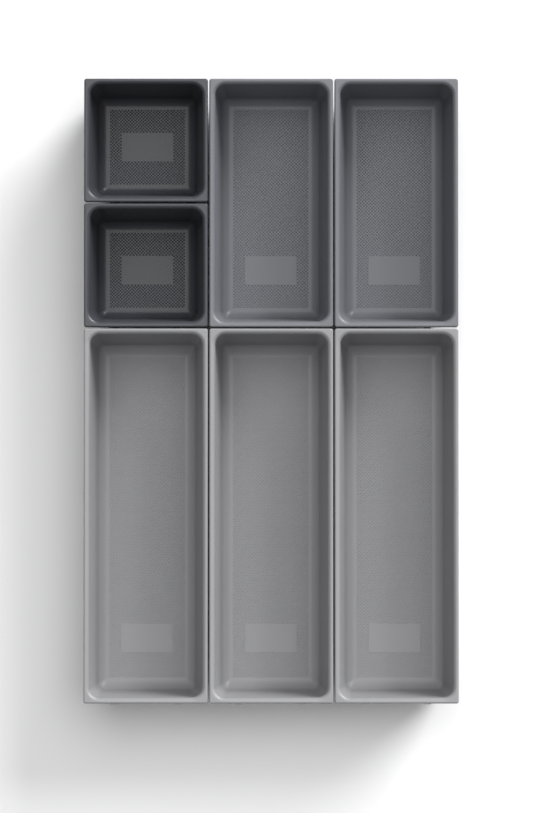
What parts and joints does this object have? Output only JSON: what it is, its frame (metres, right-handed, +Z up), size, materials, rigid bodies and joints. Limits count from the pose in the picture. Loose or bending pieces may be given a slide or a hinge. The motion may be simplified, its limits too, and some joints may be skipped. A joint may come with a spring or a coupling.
{
  "type": "modular drawer organizer",
  "caption": "Modular drawer organizer: open trays in three lengths and three greys, with rolled rims, rounded insides, spacing tabs and rubber feet, filling one rectangle.",
  "frame": {"origin": "middle of the whole footprint, on the surface the feet stand on", "axes": "+X to the right and +Y to the back as seen from the drawer's front, +Z up"},
  "size_m": [0.2278, 0.3809, 0.051],
  "materials": {
    "charcoal_plastic": "fine satin, dark slate grey",
    "grey_plastic": "fine satin, mid grey",
    "light_plastic": "fine satin, light grey",
    "foot_rubber": "matte grey non-slip rubber"
  },
  "bodies": {
    "small_back": {"small_back_tray": "charcoal_plastic", "small_back_foot_1": "foot_rubber", "small_back_foot_2": "foot_rubber", "small_back_foot_3": "foot_rubber", "small_back_foot_4": "foot_rubber"},
    "small_front": {"small_front_tray": "charcoal_plastic", "small_front_foot_1": "foot_rubber", "small_front_foot_2": "foot_rubber", "small_front_foot_3": "foot_rubber", "small_front_foot_4": "foot_rubber"},
    "medium_centre": {"medium_centre_tray": "grey_plastic", "medium_centre_foot_1": "foot_rubber", "medium_centre_foot_2": "foot_rubber", "medium_centre_foot_3": "foot_rubber", "medium_centre_foot_4": "foot_rubber"},
    "medium_right": {"medium_right_tray": "grey_plastic", "medium_right_foot_1": "foot_rubber", "medium_right_foot_2": "foot_rubber", "medium_right_foot_3": "foot_rubber", "medium_right_foot_4": "foot_rubber"},
    "large_left": {"large_left_tray": "light_plastic", "large_left_foot_1": "foot_rubber", "large_left_foot_2": "foot_rubber", "large_left_foot_3": "foot_rubber", "large_left_foot_4": "foot_rubber"},
    "large_centre": {"large_centre_tray": "light_plastic", "large_centre_foot_1": "foot_rubber", "large_centre_foot_2": "foot_rubber", "large_centre_foot_3": "foot_rubber", "large_centre_foot_4": "foot_rubber"},
    "large_right": {"large_right_tray": "light_plastic", "large_right_foot_1": "foot_rubber", "large_right_foot_2": "foot_rubber", "large_right_foot_3": "foot_rubber", "large_right_foot_4": "foot_rubber"}
  },
  "joints": [
    {"name": "small_back_lift", "type": "slide", "parent": "large_centre", "child": "small_back", "axis": [0, 0, 1], "range_m": [0, 0.06]},
    {"name": "small_front_lift", "type": "slide", "parent": "large_centre", "child": "small_front", "axis": [0, 0, 1], "range_m": [0, 0.06]},
    {"name": "medium_centre_lift", "type": "slide", "parent": "large_centre", "child": "medium_centre", "axis": [0, 0, 1], "range_m": [0, 0.06]},
    {"name": "medium_right_lift", "type": "slide", "parent": "large_centre", "child": "medium_right", "axis": [0, 0, 1], "range_m": [0, 0.06]},
    {"name": "large_left_lift", "type": "slide", "parent": "large_centre", "child": "large_left", "axis": [0, 0, 1], "range_m": [0, 0.06]},
    {"name": "large_right_lift", "type": "slide", "parent": "large_centre", "child": "large_right", "axis": [0, 0, 1], "range_m": [0, 0.06]}
  ]
}
